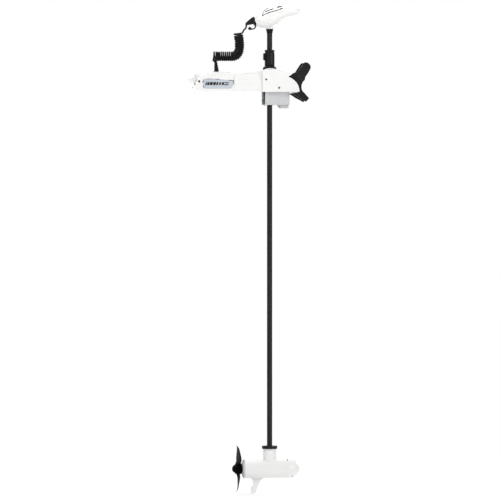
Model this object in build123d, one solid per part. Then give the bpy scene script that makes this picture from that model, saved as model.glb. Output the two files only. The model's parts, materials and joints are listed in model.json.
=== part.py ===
"""Bow-mount electric trolling motor, deployed: a long shaft through a tilting, power-steered drive housing.

Millimetres. +Z is up, +X points to the boat's bow and +Y to port. The origin is the centre of the
deck bolt pattern on the underside of the mount. Everything is drawn with the shaft's axis at x = 0,
and save() moves it to its place. The mount is the fixed part. The drive housing tilts between its two
cheek plates, the steering sleeve turns in the housing, and the shaft slides through the sleeve.
"""

from build123d import *
import math
import os

os.makedirs("parts", exist_ok=True)

# ---------------------------------------------------------------- driving dimensions
SHAFT_X = 250.0          # shaft axis, ahead of the deck bolt pattern's centre
SHAFT_R = 14.3           # 1 1/8 inch composite shaft
SHAFT_BORE_R = 11.3
SHAFT_TOP = 372.0
SHAFT_FOOT = -1930.0

PIVOT_Z = 52.0           # tilt axis: across the shaft's own axis, along Y
DOME_R = 74.5            # top of the drive housing, concentric with the tilt axis
HOUSING_X0, HOUSING_X1 = -37.0, 101.5
CAP = 6.5                # the black cap's share of the housing's length
HOUSING_HALF = 52.0
HOUSING_FOOT = -68.0
POCKET_X0, POCKET_FOOT = 49.0, -86.0
SPLIT_Z = 2.0            # the housing's upper and lower shells meet here
WALL = 4.0
FIT = 0.05               # radial clearance of a running fit
GAP = 0.3                # clearance between pieces that only face each other

CHANNEL_X0, CHANNEL_X1 = -394.0, -47.0
CHANNEL_HALF = 74.0      # outside, at the deck
CHANNEL_INNER = 60.5
CHANNEL_TOP = 94.0
FLOOR = 4.0
TAIL_HALF = 78.0
TAIL_SLOT_HALF = 28.0    # the stowed shaft lies in this slot
CHEEK_IN, CHEEK_OUT = 54.0, 60.0
COVER_OUT = 80.0

PEDAL_X, PEDAL_Z = -382.0, 55.0
PEDAL_PIN_R = 4.0

BOLT_HALF_X, BOLT_HALF_Y, BOLT_R = 125.0, 38.0, 4.5
BOLTS_X = -SHAFT_X

SLEEVE_R = 20.0
BEZEL_R = 36.0
BUSH_R = 24.0
GEAR_M = 1.25
GEAR_TEETH, IDLER_TEETH, PINION_TEETH = 40, 40, 16
GEAR_Z0, GEAR_Z1 = -26.0, -12.0
MOTOR_AT = (73.5, -8.0)
MOTOR_CAN_R = 20.0

COLLAR_Z0, COLLAR_Z1, COLLAR_R = 139.0, 224.0, 26.5
KNOB_Z, KNOB_R = 187.5, 18.5

DRIVE_Z = -1996.0        # propeller axis
TUBE_R = 50.6
BROW_R, BROW_RISE = 47.0, 8.0   # the tube's raised brow, forward of the neck
TUBE_X0, TUBE_X1 = -134.0, 88.0
BELL_X0 = -145.0
BOLT_YZ = [(y, DRIVE_Z + z) for y in (-10.0, 10.0) for z in (-40.5, 40.5)]
BOLT_SEAT_TOP, BOLT_SEAT_LOW = 96.0, 104.0   # where the bolts' heads sit in the nose
NOSE_TIP = 160.0
NECK_RX, NECK_RY = 36.0, 31.0
NECK_TOP = -1890.5
RING_R, RING_TOP = 41.0, -1874.6

CORD_R = 4.5
CURL_R = 25.0            # outside of the curly stretch
CURL_Y = -52.0
CURL_Z = 188.0           # axis of the lying stretch
CURL_X = -168.0          # axis of the standing stretch
CURL_START_X, CURL_TOP_Z = -307.0, 316.0
CURL_BEND = 34.0
CORD_BOOT_X = -289.0
PLUG_X, PLUG_Y, PLUG_Z = -126.0, -24.0, 354.6


# ---------------------------------------------------------------- helpers
def save(node, shape):
    """Writes one node, moved from the shaft's frame to the mount's."""
    export_step(Pos(SHAFT_X, 0, 0) * shape, f"parts/{node}.step")


def block(x0, x1, y0, y1, z0, z1):
    """A box between its two corners."""
    return Pos((x0 + x1) / 2, (y0 + y1) / 2, (z0 + z1) / 2) * Box(x1 - x0, y1 - y0, z1 - z0)


def along_z(x, y, z0, z1, r):
    return Pos(x, y, (z0 + z1) / 2) * Cylinder(r, z1 - z0)


def along_x(y, z, x0, x1, r):
    return Pos((x0 + x1) / 2, y, z) * Rot(0, 90, 0) * Cylinder(r, x1 - x0)


def along_y(x, z, y0, y1, r):
    return Pos(x, (y0 + y1) / 2, z) * Rot(90, 0, 0) * Cylinder(r, y1 - y0)


def side_plate(points, y0, y1):
    """An outline in X and Z, made solid from y0 to y1."""
    face = make_face(Polyline(*[(x, y0, z) for x, z in points], close=True))
    return extrude(face, amount=y1 - y0, dir=(0, 1, 0))


def lengthwise(points, x0, x1):
    """An outline in Y and Z, made solid from x0 to x1."""
    face = make_face(Polyline(*[(x0, y, z) for y, z in points], close=True))
    return extrude(face, amount=x1 - x0, dir=(1, 0, 0))


def turned_x(points):
    """An outline in X and radius, turned about the propeller axis."""
    face = make_face(Polyline(*[(x, 0, DRIVE_Z + r) for x, r in points], close=True))
    return revolve(face, Axis((0, 0, DRIVE_Z), (1, 0, 0)), 360)


def turned_z(points, x=0.0, y=0.0):
    """An outline in radius and Z, turned about an upright axis."""
    face = make_face(Polyline(*[(r, 0, z) for r, z in points], close=True))
    return Pos(x, y, 0) * revolve(face, Axis.Z, 360)


def port_of(shape):
    """The port copy of a starboard piece."""
    return mirror(shape, about=Plane.XZ)


def solids(shapes):
    """Several separate solids as one node."""
    return Compound(children=[s for shape in shapes for s in shape.solids()])


def gear(teeth, bore, z0, z1, phase):
    """A spur gear with stub involute teeth, a little thinned for backlash, turned by phase degrees."""
    pitch = GEAR_M * teeth / 2
    base = pitch * math.cos(math.radians(20))
    tip, root = pitch + 0.8 * GEAR_M, pitch - 1.05 * GEAR_M
    thin = 0.1 / pitch

    def involute(r):
        if r <= base:
            return 0.0
        a = math.acos(base / r)
        return math.tan(a) - a

    half = math.pi / (2 * teeth) - thin
    flank_r = [max(root, base * 0.999), pitch - 0.4 * GEAR_M, pitch, pitch + 0.4 * GEAR_M, tip]
    flank_r = sorted(r for r in set(flank_r) if r > root)
    flank = [(root, half + involute(pitch))]
    flank += [(r, half + involute(pitch) - involute(r)) for r in flank_r]
    outline = []
    for tooth in range(teeth):
        middle = 2 * math.pi * tooth / teeth + math.radians(phase)
        outline += [(r, middle - a) for r, a in flank]
        outline += [(r, middle + a) for r, a in reversed(flank)]
    points = [(r * math.cos(a), r * math.sin(a), z0) for r, a in outline]
    face = make_face(Polyline(*points, close=True))
    wheel = extrude(face, amount=z1 - z0, dir=(0, 0, 1))
    return wheel - along_z(0, 0, z0 - 1, z1 + 1, bore)


# ---------------------------------------------------------------- mount: channel and tail
def base_channel():
    """Extruded aluminium channel: a floor and two hollow rails that lean in a little."""
    section = [
        (-CHANNEL_HALF, 0), (CHANNEL_HALF, 0), (CHANNEL_HALF - 6, CHANNEL_TOP),
        (CHANNEL_INNER, CHANNEL_TOP), (CHANNEL_INNER, FLOOR), (-CHANNEL_INNER, FLOOR),
        (-CHANNEL_INNER, CHANNEL_TOP), (-CHANNEL_HALF + 6, CHANNEL_TOP),
    ]
    channel = lengthwise(section, CHANNEL_X0, CHANNEL_X1)
    rail = [(CHANNEL_INNER + 2.5, FLOOR), (CHANNEL_HALF - 3, FLOOR),
            (CHANNEL_HALF - 8.2, CHANNEL_TOP - 3), (CHANNEL_INNER + 2.5, CHANNEL_TOP - 3)]
    hollow = lengthwise(rail, CHANNEL_X0 - 1, CHANNEL_X1 + 1)
    channel = channel - hollow - port_of(hollow)
    groove_z, groove_deep, groove_tall = (8.0, 37.0, 66.0), 1.0, 2.4
    for z in groove_z:
        y = CHANNEL_HALF - 6 * z / CHANNEL_TOP
        cut = block(CHANNEL_X0 - 1, CHANNEL_X1 + 1, y - groove_deep, y + 3, z, z + groove_tall)
        channel = channel - cut - port_of(cut)
    for x in (-BOLT_HALF_X, BOLT_HALF_X):
        for y in (-BOLT_HALF_Y, BOLT_HALF_Y):
            channel -= along_z(BOLTS_X + x, y, -1, FLOOR + 1, BOLT_R)
    channel -= along_y(PEDAL_X, PEDAL_Z, -90, 90, PEDAL_PIN_R + FIT)
    for x, z in CHEEK_SCREWS:
        channel -= along_y(x, z, -66, 66, 3.0 + FIT)
    return channel


TAIL_OUTLINE = [
    (-409, 0), (-403, 24), (-397, 46), (-391, 62), (-381, 80), (-368, 91), (-348, 102.5), (-325, 106),
    (-262, 106), (-230, 103.5), (-198, 98), (-198, 0),
]


def tail_cover():
    """Moulded cover over the stern half of the channel, open along the middle for the stowed shaft."""
    cover = side_plate(TAIL_OUTLINE, -TAIL_HALF, TAIL_HALF)
    edges = [e for e in cover.edges().filter_by(lambda e: abs(e.center().Y) > TAIL_HALF - 0.1)
             if e.center().Z > 60 and e.center().X < -199]
    cover = fillet(edges, 9)
    rails = lengthwise([(-CHANNEL_HALF - GAP, -1), (CHANNEL_HALF + GAP, -1),
                        (CHANNEL_HALF - 5.5, CHANNEL_TOP + GAP),
                        (-CHANNEL_HALF + 5.5, CHANNEL_TOP + GAP)], CHANNEL_X0 - GAP, -190)
    cover = cover - rails
    cover = cover - block(-430, -180, -TAIL_SLOT_HALF, TAIL_SLOT_HALF, 34, 120)
    pedal_half = TAIL_SLOT_HALF + 25
    cover = cover - block(-430, -340, -pedal_half, pedal_half, 36, 84)
    cover = cover - block(-395, -340, -pedal_half, pedal_half, 5, 84)
    cover -= along_y(PEDAL_X, PEDAL_Z, -90, 90, PEDAL_PIN_R + FIT)
    cover -= along_x(GLAND_Y, GLAND_Z, -430, -374, GLAND_R + FIT)
    cover -= along_z(CORD_BOOT_X, CURL_Y, 90, 120, CORD_R + FIT)
    return max(cover.solids(), key=lambda s: s.volume)


GLAND_Y, GLAND_Z, GLAND_R = 64.0, 20.0, 9.0
CHEEK_SCREWS = [(-98.0, 24.0), (-98.0, 70.0), (-74.0, 24.0), (-74.0, 70.0)]


def side_badges():
    """A thin plate on each flank of the tail cover."""
    outline = [(-358, 67), (-308, 69), (-195, 60), (-207, 24), (-217, 17), (-354, 17), (-366, 54)]
    plate = side_plate(outline, -TAIL_HALF - 1.4, -TAIL_HALF - 0.02)
    return solids([plate, port_of(plate)])


def pedal_pins():
    """Two stub pins with round heads on the tail cover's flanks."""
    pin = along_y(PEDAL_X, PEDAL_Z, -TAIL_HALF - 1, -32, PEDAL_PIN_R)
    pin += along_y(PEDAL_X, PEDAL_Z, -TAIL_HALF - 2.6, -TAIL_HALF - 0.02, 5.4)
    return solids([pin, port_of(pin)])


def pedal_springs():
    """Torsion springs on the pedal pins, as a stack of turns and two legs on each side."""
    turns = []
    wire, mean = 1.0, 6.2
    for i in range(4):
        ring = Pos(PEDAL_X, -54.6 - i * 1.3, PEDAL_Z) * Rot(90, 0, 0) * Torus(mean, wire * 0.6)
        turns.append(ring)
        turns.append(port_of(ring))
    return solids(turns)


def latch_guide():
    """Bracket on the channel's floor that keeps the latch bar flat."""
    guide = block(-150, -118, -24, 24, FLOOR + 0.02, 18)
    guide -= block(-151, -117, -10.4, 10.4, FLOOR, 8.6)
    return guide


# ---------------------------------------------------------------- mount: bow end
CHEEK_OUTLINE = [
    (-158, 6), (-158, 95), (-135, 99), (-46, 113), (0, 116), (52, 113), (90, 107), (116, 96), (166, 92),
    (174, 76), (170, 62), (158, 40), (155, 16), (152, 0), (-46.5, 0), (-46.5, 6),
]
COVER_OUTLINE_TOP = [
    (-46, 0), (-46, 112.5), (-24, 117), (8, 118.5), (52, 115), (90, 110), (114, 99), (133, 79), (147, 50),
    (154, 22), (155, 0),
]
RAMP_OUTLINE = [
    (93, 80), (119, 98), (144, 107), (156, 127), (173, 152), (182, 157), (195, 155), (208, 143), (211, 127),
    (198, 102), (182, 79), (179, 64), (169, 53), (162, 37), (161, 21), (166, 6), (178, -6), (202, -33),
    (187, -51), (158, -35), (145, -29), (134, -21), (108, -6), (152, -1), (153, 5), (145, 35), (134, 52),
    (123, 63), (109, 73),
]


def cheek():
    """Aluminium plate inside the channel's rail, holding one hinge pin."""
    plate = side_plate(CHEEK_OUTLINE, -CHEEK_OUT, -CHEEK_IN)
    plate -= along_y(0, PIVOT_Z, -70, -40, 8.0 + FIT)
    for x, z in CHEEK_SCREWS:
        plate -= along_y(x, z, -70, -40, 3.0 + FIT)
        head = Pos(x, -CHEEK_IN - 1.5, z) * Rot(90, 0, 0) * Cone(6.0 + FIT, 3.0 + FIT, 3.0)
        plate -= head
    for x, z in [(x, z) for x, z, _ in SIDE_SCREWS] + RAMP_SCREWS:
        plate -= along_y(x, z, -70, -40, 2.5 + FIT)
    return plate


# x, z and depth of each side cover screw's seat
SIDE_SCREWS = [(-26.0, 66.0, 2.4), (43.0, 22.0, 9.0)]
RAMP_SCREWS = [(150.0, 82.0), (161.0, 66.0)]


def side_cover():
    """Moulded outer cover of the bow end, a shell open towards its cheek plate."""
    cover = side_plate(COVER_OUTLINE_TOP, -COVER_OUT, -CHEEK_OUT - GAP)
    outer = [e for e in cover.edges() if abs(e.center().Y + COVER_OUT) < 0.1
             and e.center().Z > 1 and e.center().X > -45]
    cover = fillet(outer, 7)
    room = [(-42.5, 3), (-42.5, 107), (-24, 111.5), (8, 113.5), (52, 110), (88, 105), (110, 95),
            (128, 76), (142, 48), (149, 22), (150, 3)]
    cover -= side_plate(room, -COVER_OUT + 3.5, -CHEEK_OUT)
    for x, z, deep in SIDE_SCREWS:
        cover += side_plate([(x - 7, z - 9), (x + 7, z - 9), (x + 7, z + 9), (x - 7, z + 9)],
                            -COVER_OUT + 3.4, -CHEEK_OUT - GAP)
        cover -= along_y(x, z, -90, -50, 2.5 + FIT)
        for shift in (-1, 1) if deep > 5 else (0,):
            cover -= along_y(x, z + 1.6 * shift, -90, -COVER_OUT + deep, 5.0)
    seat = make_face(Polyline(*[(x, -COVER_OUT - 5, z) for x, z in RAMP_OUTLINE], close=True))
    return biggest(cover - extrude(offset(seat, GAP), amount=30, dir=(0, 1, 0)))


def ramp():
    """Rubber-faced ramp on the bow edge: two arms that the lower unit rests between when stowed."""
    body = side_plate(RAMP_OUTLINE, -COVER_OUT - 3.5, -CHEEK_OUT - GAP)
    outer = [e for e in body.edges() if abs(e.center().Y + COVER_OUT + 3.5) < 0.1]
    body = chamfer(outer, 2.0)
    for x, z in RAMP_SCREWS:
        body -= along_y(x, z, -90, -50, 2.5 + FIT)
        body -= along_y(x, z, -90, -COVER_OUT - 1, 5.0)
    return body


def hinge_pins():
    """Trunnion pins, one in each cheek plate, on the tilt axis."""
    pin = along_y(0, PIVOT_Z, -CHEEK_OUT, -43, 8.0)
    return solids([pin, port_of(pin)])


def mount_screws():
    """Countersunk cheek screws and the side covers' screws."""
    made = []
    for x, z in CHEEK_SCREWS:
        screw = along_y(x, z, -65.8, -CHEEK_IN - 3.0, 3.0)
        screw += Pos(x, -CHEEK_IN - 1.5, z) * Rot(90, 0, 0) * Cone(6.0, 3.0, 3.0)
        made += [screw, port_of(screw)]
    seats = [(x, z, -COVER_OUT + deep - 2.1) for x, z, deep in SIDE_SCREWS]
    seats += [(x, z, -COVER_OUT - 3.2) for x, z in RAMP_SCREWS]
    for x, z, head_y in seats:
        screw = along_y(x, z, head_y + 2, -CHEEK_IN - 0.5, 2.5) + along_y(x, z, head_y, head_y + 2.1, 4.8)
        screw -= Pos(x, head_y + 0.7, z) * Rot(90, 0, 0) * extrude(RegularPolygon(2.4, 6), 0.8, both=True)
        made += [screw, port_of(screw)]
    return solids(made)


def shaft_rest():
    """Rubber saddle on the channel's floor, under the stowed shaft."""
    rest = block(-318, -278, -22, 22, 12, 48)
    rest += block(-324, -272, -30, -12, FLOOR + 0.02, 14)
    rest += block(-324, -272, 12, 30, FLOOR + 0.02, 14)
    return rest - along_x(0, PIVOT_Z, -330, -260, SHAFT_R + 0.7)


def cord_boot():
    """Ribbed strain relief where the curly cord leaves the tail cover."""
    z0, z1 = 106.05, 162.5
    outline = [(CORD_R + FIT, z0), (14, z0), (14, z0 + 3)]
    ribs = 6
    for i in range(ribs):
        z = z0 + 6 + i * 8
        r = 12.6 - 4.6 * i / ribs
        outline += [(r - 1.8, z - 2), (r - 1.8, z), (r, z + 0.8), (r, z + 4), (r - 1.8, z + 4.8)]
    outline += [(6.6, z1), (CORD_R + FIT, z1)]
    return turned_z(outline, CORD_BOOT_X, CURL_Y)


def power_gland():
    """Gland in the stern face for the boat's power cable."""
    gland = along_x(GLAND_Y, GLAND_Z, -404, -394.4, GLAND_R)
    return gland - along_x(GLAND_Y, GLAND_Z, -430, -380, 6.0)


# ---------------------------------------------------------------- curly cord
def curl_path():
    """Centre line of the curly stretch: lying, then a bend, then standing."""
    return FilletPolyline((CURL_START_X, CURL_Y, CURL_Z), (CURL_X, CURL_Y, CURL_Z),
                          (CURL_X, CURL_Y, CURL_TOP_Z), radius=CURL_BEND)


def swept(path, radius):
    """A round tube's solid along a path of straight runs and tangent arcs."""
    start = Plane(origin=path @ 0, z_dir=path % 0)
    return sweep(start * Circle(radius), path=path)


UPPER_LEAD = [(-149.0, -52.0, CURL_TOP_Z + 0.2), (-149.0, -52.0, 324.0), (PLUG_X, PLUG_Y, 344.0),
              (PLUG_X, PLUG_Y, PLUG_Z - 0.3)]


def lower_lead():
    """Straight lead from inside the tail cover up to the curl."""
    return along_z(CORD_BOOT_X, CURL_Y, 97, CURL_Z - CURL_R - 0.05, CORD_R)


def lead_path(points):
    """A free lead's route, with each arc as large as its two runs allow."""
    radii = []
    for a, b, c in zip(points, points[1:], points[2:]):
        before, after = Vector(b) - Vector(a), Vector(c) - Vector(b)
        half_turn = math.radians(before.get_angle(after)) / 2
        radii.append(0.45 * min(before.length, after.length) / math.tan(half_turn))
    print("lead radii", [round(r, 1) for r in radii])
    return FilletPolyline(*points, radius=radii)


# ---------------------------------------------------------------- drive housing
def housing_shape(inset, y_half):
    """The upper housing's outer form, or its room at an inset from it."""
    x0, x1 = HOUSING_X0 + inset, HOUSING_X1 - inset
    outline = [(x0, SPLIT_Z), (x0, 140), (46, 140), (46, 116 - inset), (x1, 88 - inset), (x1, SPLIT_Z)]
    shape = side_plate(outline, -y_half, y_half)
    return shape & (along_y(0, PIVOT_Z, -80, 80, DOME_R - inset)
                    + block(46, 120, -80, 80, -10, 130) + block(-60, 60, -80, 80, -10, PIVOT_Z))


def housing_upper():
    """Tilting gearbox shell above the deck line, with trunnion bosses and the upper bearing's seat."""
    shell = housing_shape(0, HOUSING_HALF)
    upright = [e for e in shell.edges().filter_by(Axis.Z) if e.center().Z < 60]
    shell = fillet(upright, 6)
    shell -= housing_shape(WALL, HOUSING_HALF - WALL)
    shell -= block(HOUSING_X0 + WALL, HOUSING_X1 - WALL, -HOUSING_HALF + WALL, HOUSING_HALF - WALL,
                   SPLIT_Z - 1, SPLIT_Z + 1)
    seat = along_z(0, 0, 96, 140, BUSH_R + 5) & along_y(0, PIVOT_Z, -80, 80, DOME_R)
    shell += seat
    for side in (-1, 1):
        inner, outer = sorted((side * 40.0, side * (HOUSING_HALF - 1)))
        shell += along_y(0, PIVOT_Z, inner, outer, 16.0)
    shell -= along_z(0, 0, 90, 140, BUSH_R)
    shell -= along_y(0, PIVOT_Z, -60, -39, 10.0)
    shell -= along_y(0, PIVOT_Z, 39, 60, 10.0)
    shell -= block(HOUSING_X0 - 1, HOUSING_X0 + WALL + 1, -12, 12, 3.2, 16)
    return shell


def rounded_tub(x0, x1, y0, y1, z0, z1, r):
    tub = block(x0, x1, y0, y1, z0, z1)
    return fillet(tub.edges().filter_by(Axis.Z), r)


def housing_lower():
    """Lower shell: the gear room, and the deeper pocket round the steering motor."""
    x0, x1, half = HOUSING_X0 + CAP, HOUSING_X1, HOUSING_HALF
    top = SPLIT_Z - GAP
    tub = rounded_tub(x0, x1, -half, half, HOUSING_FOOT, top, 9)
    motor_y = MOTOR_AT[1]
    tub += rounded_tub(POCKET_X0, x1 - 3, motor_y - 27, motor_y + 27, POCKET_FOOT, HOUSING_FOOT + 5, 9)
    gusset = side_plate([(34, HOUSING_FOOT + 1), (POCKET_X0 + 6, HOUSING_FOOT + 1),
                         (POCKET_X0 + 6, POCKET_FOOT + 0.5), (POCKET_X0 + 1, POCKET_FOOT + 0.5)],
                        motor_y - 17, motor_y + 17)
    tub += gusset
    room = rounded_tub(x0 + 3.5, x1 - 3.5, -half + 3.5, half - 3.5, HOUSING_FOOT + 3.5, top + 1, 6)
    tub -= room
    tub -= along_z(*MOTOR_AT, POCKET_FOOT + 3.5, HOUSING_FOOT + 6, MOTOR_CAN_R + 1)
    tub += along_z(0, 0, HOUSING_FOOT, HOUSING_FOOT + 20, BUSH_R + 5)
    tub -= along_z(0, 0, HOUSING_FOOT - 1, HOUSING_FOOT + 21, BUSH_R)
    for x, y in HOUSING_SCREWS:
        tub += along_z(x, y, HOUSING_FOOT + 3, top, 4.5) & block(x0 + 1, x1 - 1, -half + 1, half - 1, -80, 10)
        tub -= along_z(x, y, HOUSING_FOOT - 1, top + 1, 2.0 + FIT)
    return tub


HOUSING_SCREWS = [(-22.0, -44.0), (-22.0, 44.0), (93.0, -44.0), (93.0, 44.0)]


def housing_rear_cap():
    """Black cap that closes the gearbox on its stern side, with a finger rib."""
    x1 = HOUSING_X0 + CAP - GAP
    cap = rounded_tub(HOUSING_X0, x1, -HOUSING_HALF + 2, HOUSING_HALF - 2, HOUSING_FOOT + 2, SPLIT_Z - GAP, 2.8)
    cap += block(HOUSING_X0 - 3, HOUSING_X0 + 1, -30, 30, -49, -40)
    return cap


def bezel_ring():
    """Flared ring that sits astride the dome, round the top of the steering sleeve."""
    flare = turned_z([(SLEEVE_R + 1.5, 100), (BEZEL_R, 100), (BEZEL_R, 129), (34, 131.8), (29.5, 135),
                      (27, 138.2), (SLEEVE_R + 1.5, 138.2)])
    return flare - along_y(0, PIVOT_Z, -80, 80, DOME_R + 0.02)


def housing_bushes():
    """Sleeve bearings, top and bottom, and the two trunnion bushes."""
    lower = along_z(0, 0, HOUSING_FOOT + 1, HOUSING_FOOT + 19, BUSH_R)
    upper = along_z(0, 0, 100, 121.5, BUSH_R)
    bore = along_z(0, 0, -90, 140, SLEEVE_R + FIT)
    side = along_y(0, PIVOT_Z, -HOUSING_HALF, -40, 10.0) - along_y(0, PIVOT_Z, -60, -30, 8.0 + FIT)
    return solids([lower - bore, upper - bore, side, port_of(side)])


def gear_plate():
    """Steel plate inside the gearbox with the idler's riveted axle."""
    plate = rounded_tub(-25.5, 96, -47.5, 47.5, -42, -38, 6)
    plate += along_z(*IDLER_AT, -39, GEAR_Z1 + 4, 5.0)
    plate -= along_z(0, 0, -50, -30, SLEEVE_R + 2)
    plate -= along_z(*MOTOR_AT, -50, -30, 5)
    for x, y in HOUSING_SCREWS:
        plate -= along_z(x, y, -50, -30, 6.0)
    return plate


IDLER_R = GEAR_M * IDLER_TEETH / 2
IDLER_FROM_GEAR = GEAR_M * (GEAR_TEETH + IDLER_TEETH) / 2
IDLER_FROM_PINION = GEAR_M * (PINION_TEETH + IDLER_TEETH) / 2
MOTOR_FAR = math.hypot(*MOTOR_AT)
MOTOR_ANGLE = math.atan2(MOTOR_AT[1], MOTOR_AT[0])
IDLER_SWING = math.acos((MOTOR_FAR**2 + IDLER_FROM_GEAR**2 - IDLER_FROM_PINION**2)
                        / (2 * MOTOR_FAR * IDLER_FROM_GEAR))
IDLER_ANGLE = MOTOR_ANGLE + IDLER_SWING
IDLER_AT = (IDLER_FROM_GEAR * math.cos(IDLER_ANGLE), IDLER_FROM_GEAR * math.sin(IDLER_ANGLE))
TO_PINION = math.atan2(MOTOR_AT[1] - IDLER_AT[1], MOTOR_AT[0] - IDLER_AT[0])


def steering_motor():
    """Steering motor's can, with its bearing nose through the gear plate."""
    can = along_z(*MOTOR_AT, POCKET_FOOT + 4, -42.05, MOTOR_CAN_R)
    can += along_z(*MOTOR_AT, -43, -37, 4.8)
    can -= along_z(*MOTOR_AT, -60, -36, 3.0 + FIT)
    return can


def housing_screws():
    screws = []
    for x, y in HOUSING_SCREWS:
        screw = along_z(x, y, HOUSING_FOOT - 0.02, SPLIT_Z - GAP - 1, 2.0)
        screw += along_z(x, y, HOUSING_FOOT - 3, HOUSING_FOOT - 0.02, 4.0)
        screws.append(screw)
    return solids(screws)


# ---------------------------------------------------------------- steering train
def steering_sleeve():
    """Output tube of the steering: the shaft slides in it, and the depth collar keys into its top."""
    sleeve = along_z(0, 0, HOUSING_FOOT + 1, 137.5, SLEEVE_R)
    sleeve += along_z(0, 0, GEAR_Z1 + 0.02, GEAR_Z1 + 4, SLEEVE_R + 4)
    sleeve -= along_z(0, 0, -90, 150, SHAFT_R + 0.08)
    return sleeve - block(-30, 30, -4, 4, 130, 140)


def output_gear():
    return gear(GEAR_TEETH, SLEEVE_R + 0.02, GEAR_Z0, GEAR_Z1, 0)


def idler_gear():
    """Phased so that a tooth gap faces the output gear's tooth."""
    step = 360 / IDLER_TEETH
    gear_phase = math.degrees(IDLER_ANGLE) % (360 / GEAR_TEETH)
    phase = math.degrees(IDLER_ANGLE) + 180 + gear_phase * GEAR_TEETH / IDLER_TEETH + step / 2
    return Pos(*IDLER_AT, 0) * gear(IDLER_TEETH, 5.0 + FIT, GEAR_Z0, GEAR_Z1, phase), phase


def motor_pinion(idler_phase):
    """Phased to the idler, on the steering motor's shaft."""
    toward = math.degrees(TO_PINION)
    idler_off = (toward - idler_phase) % (360 / IDLER_TEETH)
    phase = toward + 180 + idler_off * IDLER_TEETH / PINION_TEETH + 180 / PINION_TEETH
    pinion = Pos(*MOTOR_AT, 0) * gear(PINION_TEETH, 2.0, GEAR_Z0, GEAR_Z1, phase)
    return pinion + along_z(*MOTOR_AT, -58, GEAR_Z1 + 2, 3.0)


# ---------------------------------------------------------------- shaft and head
def shaft_tube():
    tube = along_z(0, 0, SHAFT_FOOT, SHAFT_TOP, SHAFT_R)
    return tube - along_z(0, 0, SHAFT_FOOT - 1, SHAFT_TOP + 1, SHAFT_BORE_R)


def shaft_leads():
    """The motor's leads, down the middle of the shaft."""
    return solids([along_z(x, y, SHAFT_FOOT + 2, SHAFT_TOP + 8, 3.2) for x, y in ((-4, -3), (4, -3), (0, 4.4))])


HEAD_SEAT_Z = 335.0
# x, lowest z, highest z, half width of the head, stern to bow
HEAD_STATIONS = [
    (-90, 368, 398, 26), (-70, 347, 415, 43), (-35, 338, 438, 54), (0, 338, 455, 56), (30, 354, 463, 52),
    (60, 377, 461, 46), (90, 396, 459, 39), (122, 406, 458, 31), (146, 412, 454, 23), (159, 422, 444, 13),
]
HEAD_SEAM = [(-120, 386), (-75, 379), (12, 357), (24, 359), (52, 376), (85, 398), (120, 410), (170, 420)]


# x, y and seat height of each screw that holds the head together
HEAD_POSTS = [(-50, -20, 351), (-50, 20, 351), (38, -14, 364), (38, 14, 364)]


def head_form(inset):
    """The head's outer form, or its room at an inset."""
    faces = []
    for x, low, high, half in HEAD_STATIONS:
        at = x + inset * (1 if x < 0 else -1) if x in (HEAD_STATIONS[0][0], HEAD_STATIONS[-1][0]) else x
        plane = Plane(origin=(at, 0, (low + high) / 2), x_dir=(0, 1, 0), z_dir=(1, 0, 0))
        faces.append(plane * Ellipse(half - inset, (high - low) / 2 - inset))
    return loft(faces)


def head_parts():
    """The head's lower tray and its cover, two shells that meet at the seam."""
    outer, room = head_form(0), head_form(3.2)
    below = side_plate(HEAD_SEAM + [(170, 300), (-120, 300)], -90, 90)
    shell = outer - room
    for x, y, seat in HEAD_POSTS:
        shell += along_z(x, y, 340, 470, 4.6) & outer
        shell -= along_z(x, y, 330, seat, 4.0)
        shell -= along_z(x, y, seat - 1, 389, 2.0 + FIT)
    base, cover = shell & below, shell - below
    base += along_z(0, 0, HEAD_SEAT_Z, 366, 22)
    base -= along_z(0, 0, 330, 375, SHAFT_R + 0.02)
    base -= along_y(0, 347, -40, 0, 3.0)
    seat = side_plate(PANEL_OUTLINE, -80, 80)
    cover -= seat
    base -= seat
    return biggest(base), biggest(cover)


def biggest(shape):
    return max(shape.solids(), key=lambda s: s.volume)


BUTTON_Y, BUTTON_Z, BUTTON_R = 12.0, 378.5, 5.0
PANEL_OUTLINE = [(-130, 396), (-92, 396), (-73, 362), (-73, 330), (-130, 330)]


def head_panel():
    """Black lower rear corner of the head, where the cord's plug goes in."""
    inner = [(-130, 395.6), (-92.3, 395.6), (-73.3, 361.8), (-73.3, 330), (-130, 330)]
    panel = head_form(0) & side_plate(inner, -80, 80)
    return biggest(panel - along_x(BUTTON_Y, BUTTON_Z, -100, -60, BUTTON_R + 0.06))


def power_button():
    """Round push button in the rear panel."""
    return along_x(BUTTON_Y, BUTTON_Z, -91.6, -87, BUTTON_R)


def control_board():
    """Main circuit board with its heat sink and a few tall components."""
    board = block(-42, 30, -28, 28, 389, 391)
    for i in range(6):
        board += block(-34, 6, -18 + i * 6, -15 + i * 6, 391, 406)
    return board + along_z(18, 12, 391, 406, 7) + along_z(18, -10, 391, 403, 6)


def head_boot():
    """Tapered rubber boot between the head and the shaft."""
    z0, z1 = 312, HEAD_SEAT_Z - 0.02
    boot = turned_z([(SHAFT_R + 0.02, z0), (15.6, z0), (16, z0 + 8), (18.4, z1 - 8), (18.6, z1),
                     (SHAFT_R + 0.02, z1)])
    return biggest(boot - head_form(-0.03))


def plug_boot():
    """Wedge-shaped plug of the curly cord, in the head's rear panel."""
    outline = [(-86, 400), (-100, 392), (-129, 367), (-131, PLUG_Z), (-116, PLUG_Z), (-96, 358), (-80, 362),
               (-80, 372)]
    boot = side_plate(outline, PLUG_Y - 13, PLUG_Y + 13)
    upright = [e for e in boot.edges() if abs(abs(e.center().Y - PLUG_Y) - 13) < 0.1 and e.center().X < -91]
    return biggest(chamfer(upright, 3) - head_form(-0.03))


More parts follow.
